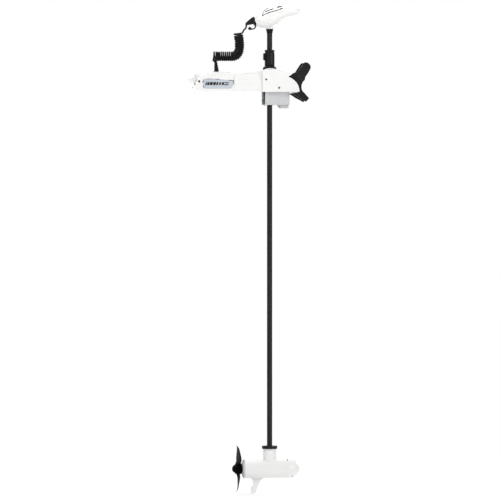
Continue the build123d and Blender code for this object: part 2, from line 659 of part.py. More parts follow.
def tether_cap():
    """Rubber dust cap on a looped tether, under the head."""
    route = FilletPolyline((-71, 8, 356), (-75, 8, 341), (-92, 9, 331), (-106, 9, 335), radius=[6, 7])
    strap = sweep(Plane(origin=route @ 0, z_dir=route % 0) * Circle(2.4), path=route)
    cap = Pos(-108, 9, 332) * Rot(0, 35, 0) * Cylinder(6.0, 12)
    return strap + cap - head_form(0)


def head_screws():
    """Screws up through the head's tray into the cover's posts."""
    screws = [along_z(x, y, seat - 2, seat, 3.8) + along_z(x, y, seat, 388, 2.0) for x, y, seat in HEAD_POSTS]
    return solids(screws + [along_y(0, 347, -25, -SHAFT_R - 1, 2.9)])


# ---------------------------------------------------------------- lower unit
def neck_ring():
    ring = along_z(0, 0, NECK_TOP + 0.02, RING_TOP, RING_R) - along_z(0, 0, -1900, -1870, SHAFT_R + 0.02)
    rim = [e for e in ring.edges() if e.length > 200]
    return chamfer(rim, 1.5)


def motor_housing():
    """Motor tube with the neck that clamps the shaft."""
    tube = along_x(0, DRIVE_Z, TUBE_X0, TUBE_X1, TUBE_R)
    neck = extrude(Plane.XY.offset(-1965) * Ellipse(NECK_RX, NECK_RY), 1965 + NECK_TOP - 6.5)
    cap = extrude(Plane.XY.offset(NECK_TOP - 6.5) * Ellipse(NECK_RX + 1.2, NECK_RY + 1.2), 6.5)
    body = tube + neck + cap + along_x(0, DRIVE_Z + BROW_RISE, 6, TUBE_X1, BROW_R)
    body = body - along_x(0, DRIVE_Z, TUBE_X0 - 1, TUBE_X1 + 1, TUBE_R - 3.6)
    body -= along_z(0, 0, SHAFT_FOOT, NECK_TOP + 1, SHAFT_R + 0.02)
    return body - along_z(0, 0, -1960, SHAFT_FOOT + 1, 9)


def nose_cone():
    """Rounded bow end of the motor."""
    length = 66.0
    x0 = NOSE_TIP - length
    steps = 14
    outer = [(TUBE_X1 + 0.02, TUBE_R), (x0, TUBE_R)]
    outer += [(x0 + length * math.sin(math.pi / 2 * i / steps), TUBE_R * math.cos(math.pi / 2 * i / steps))
              for i in range(1, steps)]
    inner = TUBE_R - 4
    nose = turned_x(outer + [(NOSE_TIP, 0), (NOSE_TIP - 6, 0)] +
                    [(x0 + (length - 6) * math.sin(math.pi / 2 * i / steps), inner * math.cos(math.pi / 2 * i / steps))
                     for i in range(steps - 1, 0, -1)] + [(x0, inner), (TUBE_X1 + 0.02, inner)])
    seat = turned_x([(TUBE_X1 + 0.02, 0), (TUBE_X1 + 0.02, inner + 1), (TUBE_X1 + 8, inner + 1), (TUBE_X1 + 8, 0)])
    nose += seat
    brow_length = length - 6
    brow = turned_x([(TUBE_X1 + 0.02, 0), (TUBE_X1 + 0.02, BROW_R), (x0, BROW_R)] +
                    [(x0 + brow_length * math.sin(math.pi / 2 * i / steps),
                      BROW_R * math.cos(math.pi / 2 * i / steps)) for i in range(1, steps)] +
                    [(x0 + brow_length, 0)])
    below = block(TUBE_X1, 180, -60, 60, DRIVE_Z - 60, DRIVE_Z + 20)
    nose += Pos(0, 0, BROW_RISE) * brow - along_x(0, DRIVE_Z, TUBE_X1 - 1, x0 + 10, inner - 1) - below
    form = turned_x(outer + [(NOSE_TIP, 0), (TUBE_X1 + 0.02, 0)])
    for y, z in BOLT_YZ:
        nose += along_x(y, z, TUBE_X1 + 0.02, BOLT_SEAT_LOW + 3, 5.6) & form
    nose -= along_x(0, DRIVE_Z, TUBE_X1 - 1, TUBE_X1 + 9, 10.05)
    for y, z in BOLT_YZ:
        seat_x = BOLT_SEAT_TOP if z > DRIVE_Z else BOLT_SEAT_LOW
        nose -= along_x(y, z, TUBE_X1 - 1, seat_x + 1, 2.5 + FIT)
        nose -= along_x(y, z, seat_x, NOSE_TIP, 4.6 + FIT)
    return nose


def rear_bell():
    """Stern end of the motor, behind the propeller, with the shaft's seal seat."""
    bell = turned_x([(TUBE_X0 - 0.02, 0), (TUBE_X0 - 0.02, TUBE_R), (-137, TUBE_R - 0.4), (-140, TUBE_R - 2),
                     (-143, TUBE_R - 5.5), (BELL_X0, TUBE_R - 11), (BELL_X0, 0)])
    bell -= turned_x([(BELL_X0 - 1, 31), (BELL_X0 - 1, 33.5), (BELL_X0 + 1.2, 33.5), (BELL_X0 + 1.2, 31)])
    bell -= along_x(0, DRIVE_Z, -150, TUBE_X0 + 1, 6.0 + 0.1)
    bell -= along_x(0, DRIVE_Z, TUBE_X0 - 9, TUBE_X0 + 1, 10.0 + FIT)
    for y, z in BOLT_YZ:
        bell -= along_x(y, z, TUBE_X0 - 7, TUBE_X0 + 1, 2.5 + FIT)
    return bell


def skeg():
    """Fin under the motor, with a foot that sits on the tube."""
    fin = side_plate([(-93, -2040), (-41, -2040), (-60, -2085), (-76, -2127), (-101, -2127), (-100, -2096),
                      (-88, -2082)], -3.6, 3.6)
    edges = [e for e in fin.edges() if abs(abs(e.center().Y) - 3.6) < 0.1 and e.center().Z < -2045]
    fin = chamfer(edges, 1.6)
    foot = block(-98, -36, -9, 9, -2052, -2036)
    foot = fillet(foot.edges().filter_by(Axis.Z), 8)
    return (fin + foot) - along_x(0, DRIVE_Z, -140, 100, TUBE_R + 0.02)


def field_magnets():
    """Two curved magnets inside the tube, either side of the armature."""
    sleeve = along_x(0, DRIVE_Z, -66, 36, TUBE_R - 3.65) - along_x(0, DRIVE_Z, -67, 37, 36)
    gap = block(-70, 40, -60, 60, DRIVE_Z - 24, DRIVE_Z + 24)
    bolts = block(-70, 40, -14, 14, DRIVE_Z - 60, DRIVE_Z + 60)
    upper = (sleeve - gap - bolts)
    return solids([upper])


def brush_plate():
    """Brush holder at the commutator, with two brushes."""
    plate = along_x(0, DRIVE_Z, 64, 68, TUBE_R - 3.8) - along_x(0, DRIVE_Z, 60, 70, 20)
    for y, z in BOLT_YZ:
        plate -= along_x(y, z, 60, 70, 4)
    for side in (-1, 1):
        y0, y1 = sorted((side * 15.6, side * 32.0))
        plate += block(50, 65, y0, y1, DRIVE_Z - 4, DRIVE_Z + 4)
    return plate


def through_bolts():
    """Long bolts that hold the bell and the nose against the tube, their heads in the nose's recesses."""
    bolts = []
    for y, z in BOLT_YZ:
        seat = BOLT_SEAT_TOP if z > DRIVE_Z else BOLT_SEAT_LOW
        bolts.append(along_x(y, z, TUBE_X0 - 7, seat, 2.5) + along_x(y, z, seat, seat + 4, 4.6))
    return solids(bolts)


def motor_bearings():
    """Ball bearings of the armature shaft, each as one ring, and the lip seal at the propeller end."""
    rear = along_x(0, DRIVE_Z, TUBE_X0 - 8, TUBE_X0 - 0.5, 10.0)
    front = along_x(0, DRIVE_Z, TUBE_X1 + 0.5, TUBE_X1 + 7.9, 10.0)
    bore = along_x(0, DRIVE_Z, -160, 110, 6.0 + FIT)
    return solids([rear - bore, front - bore])


# ---------------------------------------------------------------- armature and propeller
def armature_shaft():
    """Armature shaft, with the propeller's drive pin pressed across it."""
    return along_x(0, DRIVE_Z, -197, TUBE_X1 + 7.5, 6.0) + along_z(-171, 0, DRIVE_Z - 15, DRIVE_Z + 15, 2.0)


def armature_core():
    """Slotted lamination stack with its windings, and the commutator."""
    core = along_x(0, DRIVE_Z, -62, 32, 34)
    slots = 12
    for i in range(slots):
        slot = block(-64, 34, -2.4, 2.4, DRIVE_Z + 24, DRIVE_Z + 36)
        core -= slot.rotate(Axis((0, 0, DRIVE_Z), (1, 0, 0)), 360 * i / slots)
    core += along_x(0, DRIVE_Z, -78, -61, 28) + along_x(0, DRIVE_Z, 31, 46, 28)
    core += along_x(0, DRIVE_Z, 45, 63, 15)
    return core - along_x(0, DRIVE_Z, -80, 70, 6.02)


HUB_X = -168.0
# radius, chord, pitch angle, thickness, rake towards the stern, skew round the hub
BLADE_STATIONS = [
    (18, 40, 36, 9.0, 0, 0), (34, 62, 21, 7.4, 2, 2), (56, 84, 14.5, 5.6, 4, 5), (82, 70, 12, 4.4, 2, 9),
    (102, 48, 12, 3.4, 0, 13), (116, 26, 12, 2.6, -4, 17), (123, 10, 12, 2.0, -10, 20),
]


def blade():
    """One weedless blade: elliptic sections that twist, rake and skew towards the tip."""
    faces = []
    for radius, chord, pitch, thick, rake, skew in BLADE_STATIONS:
        lean = math.radians(skew)
        place = Plane(origin=(HUB_X + rake, -radius * math.sin(lean) * 0.35, DRIVE_Z + radius),
                      x_dir=(-math.sin(math.radians(pitch)), math.cos(math.radians(pitch)), 0), z_dir=(0, 0, 1))
        faces.append(place * Ellipse(chord / 2, thick / 2))
    return loft(faces)


def propeller():
    """Two-blade propeller with a ribbed hub."""
    hub = turned_x([(-148, 6.1), (-148, 26), (-151, 28), (-176, 29), (-184, 26), (-186.5, 22), (-186.5, 6.1)])
    first = blade()
    second = first.rotate(Axis((0, 0, DRIVE_Z), (1, 0, 0)), 180)
    bore = along_x(0, DRIVE_Z, -200, -140, 6.1)
    prop = hub + (first - bore) + (second - bore)
    return prop - along_z(-171, 0, DRIVE_Z - 16, DRIVE_Z + 16, 2.05)


def prop_nut():
    """Rounded nut that covers the shaft's end."""
    nut = turned_x([(-186.7, 0), (-186.7, 20), (-191, 19), (-196, 14), (-199.5, 7), (-200, 0)])
    for i in range(6):
        groove = along_x(0, DRIVE_Z + 21, -201, -188, 2.6)
        nut -= groove.rotate(Axis((0, 0, DRIVE_Z), (1, 0, 0)), 60 * i)
    return nut - along_x(0, DRIVE_Z, -197.2, -186, 6.02)


# ---------------------------------------------------------------- depth collar, pedal, latch
def depth_collar():
    """Split clamp on the shaft that sets the depth and keys into the steering sleeve."""
    collar = turned_z([(SHAFT_R + 0.08, COLLAR_Z0), (24, COLLAR_Z0), (COLLAR_R, COLLAR_Z0 + 3),
                       (COLLAR_R, 208), (24.6, 210), (24.6, 214), (COLLAR_R, 216),
                       (COLLAR_R, COLLAR_Z1 - 2), (COLLAR_R - 2, COLLAR_Z1), (SHAFT_R + 0.08, COLLAR_Z1)])
    boss = block(-27.2, -16, -13, 13, KNOB_Z - 20, KNOB_Z + 20)
    collar += boss - along_z(0, 0, COLLAR_Z0 - 1, COLLAR_Z1 + 1, SHAFT_R + 0.08)
    collar -= block(14, 40, -1.5, 1.5, COLLAR_Z0 - 1, COLLAR_Z1 + 1)
    collar -= along_x(0, KNOB_Z, -40, -10, 4.0 + FIT)
    for i in range(10):
        angle = 36 + 32 * i
        rib = block(COLLAR_R - 1.2, COLLAR_R + 2, -2, 2, 152, 200).rotate(Axis.Z, angle)
        if abs(angle - 180) > 40:
            collar -= rib
    return collar


def collar_knob():
    """Lobed clamp knob on the stern side of the collar."""
    knob = along_x(0, KNOB_Z, -34, -27.5, KNOB_R)
    for i in range(7):
        scoop = along_x(0, KNOB_Z + KNOB_R + 3, -35, -27, 5.0)
        knob -= scoop.rotate(Axis((0, 0, KNOB_Z), (1, 0, 0)), 360 * i / 7)
    return knob + along_x(0, KNOB_Z, -28, -SHAFT_R - 0.6, 4.0)


def release_pedal():
    """Forked release lever: two toe pads either side of the slot, joined under the stowed shaft."""
    toe = [(-444, 60), (-440, 66), (-420, 75), (-399, 79), (-384, 78), (-366, 64), (-358, 42), (-358, 6),
           (-370, 6), (-372, 38), (-386, 46), (-402, 49), (-430, 53)]
    pad = side_plate(toe, -51, -30)
    pad -= along_y(PEDAL_X, PEDAL_Z, -60, -20, PEDAL_PIN_R + FIT)
    bridge = block(-370, -358, -31, 31, 6, 22)
    return pad + port_of(pad) + bridge


def latch_bar():
    """Flat bar on the channel's floor that the pedal pushes into the drive housing to release it."""
    bar = block(-357, HOUSING_X0 - 1.5, -10, 10, FLOOR + 0.8, FLOOR + 3.8)
    bar += block(-357, -352, -10, 10, FLOOR + 3.5, 18)
    return bar


def main():
    nodes = {
        "base_channel": base_channel(),
        "tail_cover": tail_cover(),
        "side_badges": side_badges(),
        "pedal_pins": pedal_pins(),
        "pedal_springs": pedal_springs(),
        "latch_guide": latch_guide(),
        "cheek_starboard": cheek(),
        "cheek_port": port_of(cheek()),
        "side_cover_starboard": side_cover(),
        "side_cover_port": port_of(side_cover()),
        "ramp_starboard": ramp(),
        "ramp_port": port_of(ramp()),
        "hinge_pins": hinge_pins(),
        "mount_screws": mount_screws(),
        "shaft_rest": shaft_rest(),
        "cord_boot": cord_boot(),
        "power_gland": power_gland(),
        "coil_cord_curl": swept(curl_path(), CURL_R),
        "coil_cord_lower_lead": lower_lead(),
        "coil_cord_upper_lead": swept(lead_path(UPPER_LEAD), CORD_R),
        "housing_upper": housing_upper(),
        "housing_lower": housing_lower(),
        "housing_rear_cap": housing_rear_cap(),
        "bezel_ring": bezel_ring(),
        "housing_bushes": housing_bushes(),
        "gear_plate": gear_plate(),
        "steering_motor": steering_motor(),
        "housing_screws": housing_screws(),
        "steering_sleeve": steering_sleeve(),
        "output_gear": output_gear(),
        "shaft_tube": shaft_tube(),
        "shaft_leads": shaft_leads(),
        "head_boot": head_boot(),
        "head_panel": head_panel(),
        "power_button": power_button(),
        "control_board": control_board(),
        "plug_boot": plug_boot(),
        "tether_cap": tether_cap(),
        "head_screws": head_screws(),
        "neck_ring": neck_ring(),
        "motor_housing": motor_housing(),
        "nose_cone": nose_cone(),
        "rear_bell": rear_bell(),
        "skeg": skeg(),
        "field_magnets": field_magnets(),
        "brush_plate": brush_plate(),
        "through_bolts": through_bolts(),
        "motor_bearings": motor_bearings(),
        "armature_shaft": armature_shaft(),
        "armature_core": armature_core(),
        "propeller": propeller(),
        "prop_nut": prop_nut(),
        "depth_collar": depth_collar(),
        "collar_knob": collar_knob(),
        "release_pedal": release_pedal(),
        "latch_bar": latch_bar(),
    }
    idler, idler_phase = idler_gear()
    nodes["idler_gear"] = idler
    nodes["motor_pinion"] = motor_pinion(idler_phase)
    nodes["head_base"], nodes["head_cover"] = head_parts()
    for node, shape in nodes.items():
        save(node, shape)
    print(len(nodes), "nodes")


main()
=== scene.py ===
import json
import math

import bmesh
import bpy
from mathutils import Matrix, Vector
from mathutils.bvhtree import BVHTree


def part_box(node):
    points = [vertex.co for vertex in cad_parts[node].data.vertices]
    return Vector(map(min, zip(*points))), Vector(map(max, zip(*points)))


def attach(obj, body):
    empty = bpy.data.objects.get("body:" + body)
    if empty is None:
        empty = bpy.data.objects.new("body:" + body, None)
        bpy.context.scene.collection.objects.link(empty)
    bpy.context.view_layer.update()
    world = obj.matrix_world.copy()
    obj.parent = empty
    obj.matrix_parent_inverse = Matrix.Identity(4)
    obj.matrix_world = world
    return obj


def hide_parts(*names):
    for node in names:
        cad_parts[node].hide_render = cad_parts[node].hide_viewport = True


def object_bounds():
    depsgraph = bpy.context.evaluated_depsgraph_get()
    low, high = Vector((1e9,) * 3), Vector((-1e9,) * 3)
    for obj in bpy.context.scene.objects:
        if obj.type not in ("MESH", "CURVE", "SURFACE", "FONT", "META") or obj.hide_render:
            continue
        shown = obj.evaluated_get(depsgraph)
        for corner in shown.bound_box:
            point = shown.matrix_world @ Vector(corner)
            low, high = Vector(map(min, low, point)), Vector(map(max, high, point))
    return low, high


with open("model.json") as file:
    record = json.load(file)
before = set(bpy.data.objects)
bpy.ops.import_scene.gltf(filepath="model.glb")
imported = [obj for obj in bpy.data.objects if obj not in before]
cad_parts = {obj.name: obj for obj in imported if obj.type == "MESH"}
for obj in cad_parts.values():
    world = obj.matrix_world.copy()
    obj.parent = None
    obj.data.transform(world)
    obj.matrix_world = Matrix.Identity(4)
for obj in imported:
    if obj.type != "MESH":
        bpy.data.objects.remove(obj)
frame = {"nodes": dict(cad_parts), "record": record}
CAD_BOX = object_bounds()

MM = 0.001
SHAFT_X = 250.0          # shaft axis in the part's frame, millimetres
DRIVE_Z = -1996.0        # propeller axis


def at(x, y, z):
    """A point given from the shaft's axis in millimetres, in the row frame in metres."""
    return Vector(((x + SHAFT_X) * MM, y * MM, z * MM))


def corner(node, high):
    """A node's lowest or highest corner, from the shaft's axis in millimetres."""
    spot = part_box(node)[1 if high else 0]
    return Vector((spot[0] / MM - SHAFT_X, spot[1] / MM, spot[2] / MM))


# ---------------------------------------------------------------- camera, light, floor
AZIMUTH, ELEVATION = math.radians(-5.5), math.radians(0.6)
FAR = 26.0               # camera to motor, metres
FIELD = 2.65             # width of the picture at the motor, metres
SENSOR = 36.0            # camera sensor, millimetres
PICTURE_MIDDLE = (-104.4, 0, -836.3)


def look(obj, target):
    obj.rotation_mode = "QUATERNION"
    obj.rotation_quaternion = (target - obj.location).to_track_quat("-Z", "Y")


def build_camera():
    camera = bpy.data.objects.new("camera", bpy.data.cameras.new("camera"))
    bpy.context.scene.collection.objects.link(camera)
    middle = at(*PICTURE_MIDDLE)
    back = Vector((math.sin(AZIMUTH) * math.cos(ELEVATION), -math.cos(AZIMUTH) * math.cos(ELEVATION),
                   math.sin(ELEVATION)))
    camera.location = middle + back * FAR
    camera.data.sensor_width = SENSOR
    camera.data.lens = SENSOR * FAR / FIELD
    camera.data.clip_start, camera.data.clip_end = 0.5, 200.0
    look(camera, middle)
    bpy.context.scene.camera = camera
    bpy.context.scene.view_settings.view_transform = "Standard"


def glowing(name, color, strength):
    """A dull stage material that glows by itself."""
    material = bpy.data.materials.new(name)
    material.use_nodes = True
    shader = material.node_tree.nodes["Principled BSDF"]
    shader.inputs["Base Color"].default_value = (color, color, color, 1)
    shader.inputs["Roughness"].default_value = 0.9
    shader.inputs["Specular IOR Level"].default_value = 0.1
    shader.inputs["Emission Color"].default_value = (1, 1, 1, 1)
    shader.inputs["Emission Strength"].default_value = strength
    return material


def stage_sheet(name, verts, faces, material):
    mesh = bpy.data.meshes.new(name)
    mesh.from_pydata(verts, [], faces)
    mesh.shade_smooth()
    mesh.materials.append(material)
    made = bpy.data.objects.new(name, mesh)
    bpy.context.scene.collection.objects.link(made)
    return made


# the stage, in metres
FLOOR_Z = CAD_BOX[0].z - 0.004
STAGE_X = SHAFT_X * MM
STAGE_HALF = 9.0         # half the width of the floor and of the backdrop
BACKDROP_Y = 2.6         # where the floor ends and the backdrop starts to curve up
BACKDROP_BEND, BACKDROP_TALL = 1.6, 8.0
SKY_R, SKY_TALL = 60.0, 70.0
STAGE_GREY = 0.6
NEAR_GLOW, FAR_GLOW = 0.35, 0.95
NEAR_REACH, FAR_REACH = 3.2, 9.0


def floor_material():
    """The floor glows more the farther it is from the frame's origin."""
    material = glowing("floor", STAGE_GREY, NEAR_GLOW)
    tree = material.node_tree
    place = tree.nodes.new("ShaderNodeVectorMath")
    place.operation = "LENGTH"
    rise = tree.nodes.new("ShaderNodeMapRange")
    rise.inputs["From Min"].default_value = NEAR_REACH
    rise.inputs["From Max"].default_value = FAR_REACH
    rise.inputs["To Min"].default_value = NEAR_GLOW
    rise.inputs["To Max"].default_value = FAR_GLOW
    tree.links.new(tree.nodes.new("ShaderNodeTexCoord").outputs["Object"], place.inputs[0])
    tree.links.new(place.outputs["Value"], rise.inputs["Value"])
    tree.links.new(rise.outputs["Result"], tree.nodes["Principled BSDF"].inputs["Emission Strength"])
    return material


def build_floor():
    """A pale flat floor in front of the backdrop."""
    left, right = STAGE_X - STAGE_HALF, STAGE_X + STAGE_HALF
    corners = [(left, -STAGE_HALF, FLOOR_Z), (right, -STAGE_HALF, FLOOR_Z),
               (right, BACKDROP_Y, FLOOR_Z), (left, BACKDROP_Y, FLOOR_Z)]
    stage_sheet("floor", corners, [(0, 1, 2, 3)], floor_material())


def build_backdrop():
    """A curved wall that lights the motor from behind and that the camera does not see."""
    steps = 25
    profile = []
    for i in range(steps):
        a = math.pi / 2 * (i + 0.5) / (steps - 0.5)
        y = BACKDROP_Y + BACKDROP_BEND * math.sin(a)
        profile.append((y, FLOOR_Z + BACKDROP_BEND * (1 - math.cos(a))))
    profile.append((BACKDROP_Y + BACKDROP_BEND, FLOOR_Z + BACKDROP_TALL))
    verts = [(STAGE_X + side * STAGE_HALF, y, z) for y, z in profile for side in (-1, 1)]
    faces = [(2 * i, 2 * i + 1, 2 * i + 3, 2 * i + 2) for i in range(len(profile) - 1)]
    backdrop = stage_sheet("backdrop", verts, faces, glowing("backdrop", STAGE_GREY, FAR_GLOW))
    backdrop.visible_camera = False


def build_sky():
    """A far white drum that only the camera sees, so every side has a plain background."""
    ring, verts = 48, []
    for z in (FLOOR_Z - 0.02, FLOOR_Z + SKY_TALL):
        for k in range(ring):
            a = 2 * math.pi * k / ring
            verts.append((STAGE_X + SKY_R * math.cos(a), SKY_R * math.sin(a), z))
    faces = [(k, (k + 1) % ring, ring + (k + 1) % ring, ring + k) for k in range(ring)]
    faces += [tuple(range(ring)), tuple(ring + k for k in range(ring))]
    sky = stage_sheet("sky", verts, faces, glowing("sky", 0.0, 1.0))
    sky.visible_diffuse = False
    sky.visible_glossy = False
    sky.visible_transmission = False
    sky.visible_shadow = False
    sky.visible_volume_scatter = False


def build_lights():
    world = bpy.data.worlds.new("world")
    world.use_nodes = True
    background = world.node_tree.nodes["Background"]
    background.inputs["Color"].default_value = (1.0, 1.0, 1.0, 1)
    background.inputs["Strength"].default_value = 0.3
    bpy.context.scene.world = world
    # name, place, aim, size in metres, power in watts
    lights = [
        ("key", at(-2600, -3600, 2600), at(0, 0, -500), (2.4, 3.2), 148),
        ("fill", at(3200, -3400, -300), at(0, 0, -900), (2.6, 3.4), 68),
        ("top", at(200, 300, 3600), at(0, 0, -300), (3.2, 2.4), 90),
        ("rim", at(900, 2600, 900), at(0, 0, -300), (2.2, 2.6), 14),
        ("low", at(-600, -3000, -2600), at(0, 0, -1900), (2.0, 1.2), 6),
    ]
    for name, place, aim, size, power in lights:
        light = bpy.data.lights.new(name, "AREA")
        light.shape, light.size, light.size_y, light.energy = "RECTANGLE", size[0], size[1], power
        obj = bpy.data.objects.new(name, light)
        obj.location = place
        bpy.context.scene.collection.objects.link(obj)
        look(obj, aim)


# ---------------------------------------------------------------- materials
class Shader:
    """A principled material with small helpers for its node tree."""

    def __init__(self, name, color, rough=0.4, metal=0.0, coat=0.0, coat_rough=0.1, specular=0.5):
        self.material = bpy.data.materials.new(name)
        self.material.use_nodes = True
        self.tree = self.material.node_tree
        self.bsdf = self.tree.nodes["Principled BSDF"]
        self.set("Base Color", (*color, 1))
        self.set("Roughness", rough)
        self.set("Metallic", metal)
        self.set("Coat Weight", coat)
        self.set("Coat Roughness", coat_rough)
        self.set("Specular IOR Level", specular)
        self.where = None
        self.height = None

    def set(self, socket, value):
        self.bsdf.inputs[socket].default_value = value

    def node(self, kind, **settings):
        made = self.tree.nodes.new(kind)
        for key, value in settings.items():
            if key in made.inputs:
                made.inputs[key].default_value = value
            else:
                setattr(made, key, value)
        return made

    def link(self, source, target):
        self.tree.links.new(source, target)

    def coords(self, scale=(1, 1, 1)):
        if self.where is None:
            self.where = self.node("ShaderNodeTexCoord").outputs["Object"]
        mapping = self.node("ShaderNodeMapping")
        mapping.inputs["Scale"].default_value = scale
        self.link(self.where, mapping.inputs["Vector"])
        return mapping.outputs["Vector"]

    def noise(self, size, detail=3.0, roughness=0.5, stretch=(1, 1, 1)):
        """Noise with features about size metres across."""
        made = self.node("ShaderNodeTexNoise")
        made.inputs["Scale"].default_value = 1 / size
        made.inputs["Detail"].default_value = detail
        made.inputs["Roughness"].default_value = roughness
        self.link(self.coords(stretch), made.inputs["Vector"])
        return made.outputs["Fac"]

    def voronoi(self, size):
        made = self.node("ShaderNodeTexVoronoi")
        made.inputs["Scale"].default_value = 1 / size
        self.link(self.coords(), made.inputs["Vector"])
        return made.outputs["Distance"]

    def ramp(self, source, low, high, a, b):
        """source from low..high mapped on a..b, clamped."""
        made = self.node("ShaderNodeMapRange")
        for key, value in (("From Min", low), ("From Max", high), ("To Min", a), ("To Max", b)):
            made.inputs[key].default_value = value
        self.link(source, made.inputs["Value"])
        return made.outputs["Result"]

    def mix(self, factor, a, b):
        """A colour that runs from a to b with factor; a and b are colours or sockets."""
        made = self.node("ShaderNodeMix", data_type="RGBA")
        self.link(factor, made.inputs["Factor"])
        for key, value in ((6, a), (7, b)):
            if isinstance(value, tuple):
                made.inputs[key].default_value = (*value[:3], 1)
            else:
                self.link(value, made.inputs[key])
        return made.outputs[2]

    def math(self, operation, a, b):
        made = self.node("ShaderNodeMath", operation=operation)
        for index, value in enumerate((a, b)):
            if isinstance(value, (int, float)):
                made.inputs[index].default_value = value
            else:
                self.link(value, made.inputs[index])
        return made.outputs[0]

    def roughness(self, socket):
        self.link(socket, self.bsdf.inputs["Roughness"])

    def tint(self, socket):
        self.link(socket, self.bsdf.inputs["Base Color"])

    def bump(self, height, strength, distance):
        made = self.node("ShaderNodeBump")
        made.inputs["Strength"].default_value = strength
        made.inputs["Distance"].default_value = distance
        self.link(height, made.inputs["Height"])
        if self.height is not None:
            self.link(self.height, made.inputs["Normal"])
        self.height = made.outputs["Normal"]
        self.link(self.height, self.bsdf.inputs["Normal"])


def dimmed(color, factor):
    """A colour, made darker."""
    return tuple(c * factor for c in color)


def moulded(name, color, rough, grain=0.0007, grain_depth=0.00003, dirt=0.9, coat=0.0, specular=0.5):
    """Moulded plastic: fine grain, a slow drift in colour and gloss, and faint handling marks."""
    s = Shader(name, color, rough, coat=coat, specular=specular)
    slow = s.noise(0.16, 3.0)
    speck = s.noise(0.006, 4.0, 0.6)
    s.tint(s.mix(s.ramp(slow, 0.3, 0.72, 0, 1), dimmed(color, dirt), color))
    drift = s.ramp(slow, 0.3, 0.7, rough - 0.04, rough + 0.05)
    s.roughness(s.math("ADD", s.ramp(speck, 0.3, 0.7, -0.035, 0.035), drift))
    s.bump(s.noise(grain, 2.0), 0.35, grain_depth)
    return s.material


def painted(name, color, rough):
    """Powder coat: orange peel under a clear top layer."""
    s = Shader(name, color, rough, coat=0.25, coat_rough=0.16)
    slow = s.noise(0.2, 3.0)
    s.tint(s.mix(s.ramp(slow, 0.3, 0.72, 0, 1), dimmed(color, 0.955), color))
    s.roughness(s.ramp(s.noise(0.02, 4.0), 0.3, 0.7, rough - 0.05, rough + 0.06))
    s.bump(s.noise(0.0022, 2.0), 0.22, 0.00008)
    return s.material


def rubber(name, color, rough):
    """Rubber: matt, with a dusty bloom and a pebbled skin."""
    s = Shader(name, color, rough, specular=0.16)
    bloom = s.noise(0.035, 5.0, 0.62)
    s.tint(s.mix(s.ramp(bloom, 0.42, 0.78, 0, 1), color, tuple(c + 0.008 for c in color)))
    s.roughness(s.ramp(bloom, 0.3, 0.75, rough - 0.06, rough + 0.14))
    s.bump(s.voronoi(0.0011), 0.3, 0.00006)
    return s.material


def brushed(name, color, rough, along=(1, 1, 1)):
    """Machined or brushed metal, its lines squeezed along one direction."""
    s = Shader(name, color, rough, metal=1.0)
    lines = s.noise(0.0012, 4.0, 0.6, along)
    s.tint(s.mix(s.ramp(lines, 0.3, 0.7, 0, 1), dimmed(color, 0.82), color))
    s.roughness(s.ramp(lines, 0.3, 0.7, rough - 0.08, rough + 0.1))
    s.bump(lines, 0.2, 0.00004)
    return s.material


def composite_shaft():
    """Pultruded composite: fine lengthwise fibres under a satin skin, with sliding rub marks."""
    color = (0.012, 0.012, 0.013)
    s = Shader("shaft_composite", color, 0.4, specular=0.2)
    fibre = s.noise(0.0016, 4.0, 0.6, (1, 1, 0.02))
    rub = s.noise(0.02, 4.0, 0.6, (1, 1, 0.12))
    s.tint(s.mix(s.ramp(rub, 0.45, 0.75, 0, 1), color, (0.021, 0.021, 0.0225)))
    s.roughness(s.math("ADD", s.ramp(fibre, 0.3, 0.7, -0.05, 0.05), s.ramp(rub, 0.35, 0.75, 0.3, 0.46)))
    s.bump(fibre, 0.25, 0.00004)
    return s.material


WHITE = (0.83, 0.83, 0.82)
MATERIALS = {
    "white_plastic": moulded("white_plastic", WHITE, 0.3, 0.0012, 0.00002, 0.965, coat=0.2),
    "white_paint": painted("white_paint", WHITE, 0.34),
    "grey_plastic": moulded("grey_plastic", (0.56, 0.57, 0.58), 0.42, 0.0011, 0.00004, 0.93),
    "black_plastic": moulded("black_plastic", (0.008, 0.008, 0.0085), 0.46, 0.0009, 0.00005, 0.8,
                             specular=0.22),
    "black_rubber": rubber("black_rubber", (0.009, 0.009, 0.0095), 0.62),
    "cord_black": rubber("cord_black", (0.003, 0.003, 0.0033), 0.4),
    "stainless": brushed("stainless", (0.6, 0.6, 0.61), 0.28, (1, 1, 0.2)),
    "dark_steel": brushed("dark_steel", (0.07, 0.07, 0.075), 0.42),
    "aluminium": brushed("aluminium", (0.66, 0.67, 0.68), 0.32, (1, 1, 0.1)),
    "brass": brushed("brass", (0.66, 0.5, 0.22), 0.3),
    "acetal": moulded("acetal", (0.7, 0.69, 0.64), 0.4, 0.0009, 0.00003, 0.93),
    "lead_insulation": moulded("lead_insulation", (0.4, 0.02, 0.02), 0.45, 0.0009, 0.00003, 0.85),
    "board_green": moulded("board_green", (0.02, 0.14, 0.06), 0.4, 0.0016, 0.00012, 0.8),
    "badge_silver": moulded("badge_silver", (0.52, 0.56, 0.61), 0.32, 0.0009, 0.00002, 0.93, coat=0.3),
    "shaft_composite": composite_shaft(),
}
# nodes whose finish differs a little from the rest of their slot
SPECIAL = {
    "propeller": moulded("propeller_black", (0.0012, 0.0012, 0.0013), 0.5, 0.0009, 0.00004, 0.7,
                         specular=0.04),
    "head_boot": rubber("soft_black", (0.003, 0.003, 0.0032), 0.6),
}
SPECIAL["prop_nut"] = SPECIAL["propeller"]
SLOTS = {part["node"]: part["material_slot"] for part in frame["record"]["subparts"]}


def dress_nodes():
    """Every CAD node gets its slot's procedural material, or its own special one."""
    for name, obj in frame["nodes"].items():
        material = SPECIAL.get(name, MATERIALS[SLOTS[name]])
        if obj.material_slots:
            for held in obj.material_slots:
                held.material = material
        else:
            obj.data.materials.append(material)


